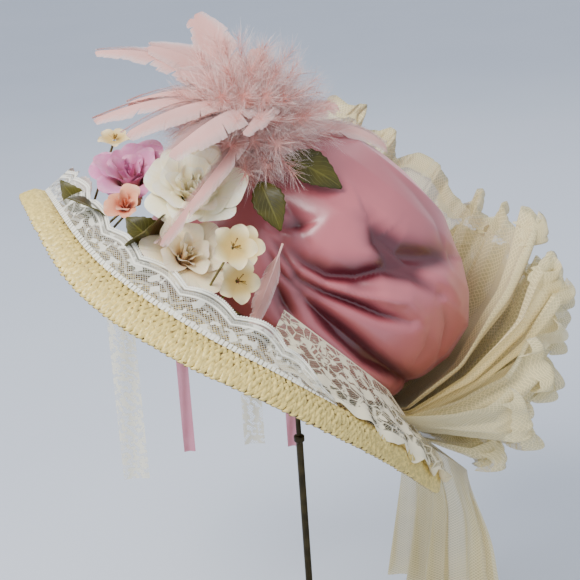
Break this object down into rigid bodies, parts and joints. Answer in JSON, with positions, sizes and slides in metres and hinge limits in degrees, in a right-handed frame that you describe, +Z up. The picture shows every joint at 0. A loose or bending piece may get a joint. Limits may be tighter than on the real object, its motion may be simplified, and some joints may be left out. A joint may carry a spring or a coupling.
{
  "type": "wide brim hat on a rod stand",
  "caption": "Tilted straw hat with a wide brim, a swagged satin crown, lace, gathered net, silk flowers and a feather spray, held up on a thin rod stand with a round foot.",
  "frame": {"origin": "centre of the underside of the stand foot", "axes": "+Z up, +X towards the back of the hat, -Y towards the side the picture shows"},
  "size_m": [0.3996, 0.3763, 0.5586],
  "materials": {
    "stand": "dark bronze paint, satin",
    "straw": "plaited straw, light natural gloss",
    "satin": "satin, soft sheen",
    "white_lace": "white net lace, matt",
    "ivory_lace": "ivory floral lace, matt",
    "tulle": "cream net, translucent",
    "lace_ribbon": "white lace ribbon, matt",
    "pink_ribbon": "pink satin ribbon, soft sheen",
    "ivory_petal": "silk petal, matt",
    "pink_petal": "silk petal, matt",
    "peach_petal": "silk petal, matt",
    "cream_blossom": "silk petal, matt",
    "leaf": "waxed cloth leaf, satin",
    "pale_petal": "silk petal, matt",
    "feather": "dyed feather, soft"
  },
  "bodies": {
    "root": {"stand_base": "stand", "stand_rod": "stand", "stand_head": "stand", "straw_brim": "straw", "straw_crown": "straw", "satin_pouf": "satin", "lace_ruffle": "white_lace", "lace_overlay": "ivory_lace", "tulle_frill_1": "tulle", "tulle_frill_2": "tulle", "tulle_frill_3": "tulle", "tulle_tail_1": "tulle", "tulle_tail_2": "tulle", "lace_streamer_1": "lace_ribbon", "lace_streamer_2": "lace_ribbon", "pink_ribbon_1": "pink_ribbon", "pink_ribbon_2": "pink_ribbon", "rose_ivory": "ivory_petal", "bloom_ivory": "ivory_petal", "rose_pink": "pink_petal", "bud_peach": "peach_petal", "blossom_1": "cream_blossom", "blossom_2": "cream_blossom", "blossom_3": "cream_blossom", "blossom_4": "cream_blossom", "leaf_1": "leaf", "leaf_2": "leaf", "leaf_3": "leaf", "leaf_4": "leaf", "leaf_5": "leaf", "leaf_6": "leaf", "pale_petal": "pale_petal", "feather_spray": "feather", "hanging_feather": "feather"}
  },
  "joints": []
}
